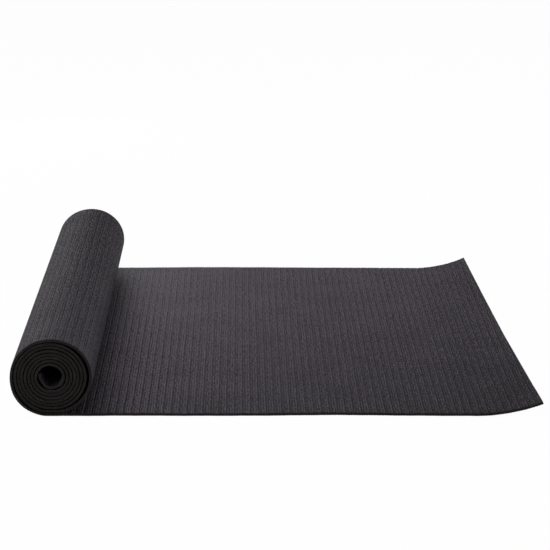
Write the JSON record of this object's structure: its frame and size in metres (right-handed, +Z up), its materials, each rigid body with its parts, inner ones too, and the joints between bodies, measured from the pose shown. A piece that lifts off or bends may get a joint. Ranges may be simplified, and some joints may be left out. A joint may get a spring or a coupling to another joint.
{
  "type": "yoga mat",
  "caption": "Thin charcoal foam exercise mat with a woven core, most of it wound in a roll and its free end laid out on the floor with a slight upward curl.",
  "frame": {"origin": "centre of the bounding box on the floor, under the laid sheet", "axes": "+Z up; +Y across the mat, along the axis of the roll; +X from the roll towards the free end"},
  "size_m": [0.5245, 0.61, 0.0796],
  "materials": {
    "top_foam": "fine ribs along the roll with an irregular foam cell pattern, matt with a faint sheen",
    "scrim": "open plain weave of polyester yarn, bonded between the foam layers",
    "bottom_foam": "the same ribbed foam as the top, matt; cut edges are a browner black"
  },
  "bodies": {
    "flat": {"flat_top_foam": "top_foam", "flat_scrim": "scrim", "flat_bottom_foam": "bottom_foam"},
    "lay_13": {"lay_13_top_foam": "top_foam", "lay_13_scrim": "scrim", "lay_13_bottom_foam": "bottom_foam"},
    "lay_12": {"lay_12_top_foam": "top_foam", "lay_12_scrim": "scrim", "lay_12_bottom_foam": "bottom_foam"},
    "lay_11": {"lay_11_top_foam": "top_foam", "lay_11_scrim": "scrim", "lay_11_bottom_foam": "bottom_foam"},
    "lay_10": {"lay_10_top_foam": "top_foam", "lay_10_scrim": "scrim", "lay_10_bottom_foam": "bottom_foam"},
    "lay_09": {"lay_09_top_foam": "top_foam", "lay_09_scrim": "scrim", "lay_09_bottom_foam": "bottom_foam"},
    "lay_08": {"lay_08_top_foam": "top_foam", "lay_08_scrim": "scrim", "lay_08_bottom_foam": "bottom_foam"},
    "lay_07": {"lay_07_top_foam": "top_foam", "lay_07_scrim": "scrim", "lay_07_bottom_foam": "bottom_foam"},
    "lay_06": {"lay_06_top_foam": "top_foam", "lay_06_scrim": "scrim", "lay_06_bottom_foam": "bottom_foam"},
    "lay_05": {"lay_05_top_foam": "top_foam", "lay_05_scrim": "scrim", "lay_05_bottom_foam": "bottom_foam"},
    "lay_04": {"lay_04_top_foam": "top_foam", "lay_04_scrim": "scrim", "lay_04_bottom_foam": "bottom_foam"},
    "lay_03": {"lay_03_top_foam": "top_foam", "lay_03_scrim": "scrim", "lay_03_bottom_foam": "bottom_foam"},
    "lay_02": {"lay_02_top_foam": "top_foam", "lay_02_scrim": "scrim", "lay_02_bottom_foam": "bottom_foam"},
    "lay_01": {"lay_01_top_foam": "top_foam", "lay_01_scrim": "scrim", "lay_01_bottom_foam": "bottom_foam"},
    "roll": {"roll_top_foam": "top_foam", "roll_scrim": "scrim", "roll_bottom_foam": "bottom_foam"},
    "curl_01": {"curl_01_top_foam": "top_foam", "curl_01_scrim": "scrim", "curl_01_bottom_foam": "bottom_foam"},
    "curl_02": {"curl_02_top_foam": "top_foam", "curl_02_scrim": "scrim", "curl_02_bottom_foam": "bottom_foam"},
    "curl_03": {"curl_03_top_foam": "top_foam", "curl_03_scrim": "scrim", "curl_03_bottom_foam": "bottom_foam"},
    "curl_04": {"curl_04_top_foam": "top_foam", "curl_04_scrim": "scrim", "curl_04_bottom_foam": "bottom_foam"}
  },
  "joints": [
    {"name": "bend_14", "type": "hinge", "parent": "flat", "child": "lay_13", "pos_m": [0.13473, 0, 0.003], "axis": [0, 1, 0], "range_deg": [0, 30]},
    {"name": "bend_13", "type": "hinge", "parent": "lay_13", "child": "lay_12", "pos_m": [0.10613, 0, 0.003], "axis": [0, 1, 0], "range_deg": [0, 30]},
    {"name": "bend_12", "type": "hinge", "parent": "lay_12", "child": "lay_11", "pos_m": [0.07798, 0, 0.003], "axis": [0, 1, 0], "range_deg": [0, 30]},
    {"name": "bend_11", "type": "hinge", "parent": "lay_11", "child": "lay_10", "pos_m": [0.05028, 0, 0.003], "axis": [0, 1, 0], "range_deg": [0, 30]},
    {"name": "bend_10", "type": "hinge", "parent": "lay_10", "child": "lay_09", "pos_m": [0.02303, 0, 0.003], "axis": [0, 1, 0], "range_deg": [0, 30]},
    {"name": "bend_09", "type": "hinge", "parent": "lay_09", "child": "lay_08", "pos_m": [-0.00377, 0, 0.003], "axis": [0, 1, 0], "range_deg": [0, 30]},
    {"name": "bend_08", "type": "hinge", "parent": "lay_08", "child": "lay_07", "pos_m": [-0.03012, 0, 0.003], "axis": [0, 1, 0], "range_deg": [0, 30]},
    {"name": "bend_07", "type": "hinge", "parent": "lay_07", "child": "lay_06", "pos_m": [-0.05602, 0, 0.003], "axis": [0, 1, 0], "range_deg": [0, 30]},
    {"name": "bend_06", "type": "hinge", "parent": "lay_06", "child": "lay_05", "pos_m": [-0.08147, 0, 0.003], "axis": [0, 1, 0], "range_deg": [0, 30]},
    {"name": "bend_05", "type": "hinge", "parent": "lay_05", "child": "lay_04", "pos_m": [-0.10647, 0, 0.003], "axis": [0, 1, 0], "range_deg": [0, 30]},
    {"name": "bend_04", "type": "hinge", "parent": "lay_04", "child": "lay_03", "pos_m": [-0.13102, 0, 0.003], "axis": [0, 1, 0], "range_deg": [0, 30]},
    {"name": "bend_03", "type": "hinge", "parent": "lay_03", "child": "lay_02", "pos_m": [-0.15512, 0, 0.003], "axis": [0, 1, 0], "range_deg": [0, 30]},
    {"name": "bend_02", "type": "hinge", "parent": "lay_02", "child": "lay_01", "pos_m": [-0.17877, 0, 0.003], "axis": [0, 1, 0], "range_deg": [0, 30]},
    {"name": "bend_01", "type": "hinge", "parent": "lay_01", "child": "roll", "pos_m": [-0.20197, 0, 0.003], "axis": [0, 1, 0], "range_deg": [0, 30]},
    {"name": "free_end_curl", "type": "hinge", "parent": "flat", "child": "curl_01", "pos_m": [0.18273, 0, 0.003], "axis": [0, -1, 0], "range_deg": [-3.5, 20], "stiffness_Nm_per_rad": 0.3, "springref_deg": 6.13},
    {"name": "curl_02_bend", "type": "hinge", "parent": "curl_01", "child": "curl_02", "pos_m": [0.20269, 0, 0.00422], "axis": [0, -1, 0], "range_deg": [-3.5, 20]},
    {"name": "curl_03_bend", "type": "hinge", "parent": "curl_02", "child": "curl_03", "pos_m": [0.22254, 0, 0.00666], "axis": [0, -1, 0], "range_deg": [-3.5, 20]},
    {"name": "curl_04_bend", "type": "hinge", "parent": "curl_03", "child": "curl_04", "pos_m": [0.24221, 0, 0.0103], "axis": [0, -1, 0], "range_deg": [-3.5, 20]}
  ],
  "couplings": [
    {"joint": "curl_02_bend", "follows": "free_end_curl", "ratio": 1},
    {"joint": "curl_03_bend", "follows": "free_end_curl", "ratio": 1},
    {"joint": "curl_04_bend", "follows": "free_end_curl", "ratio": 1}
  ]
}
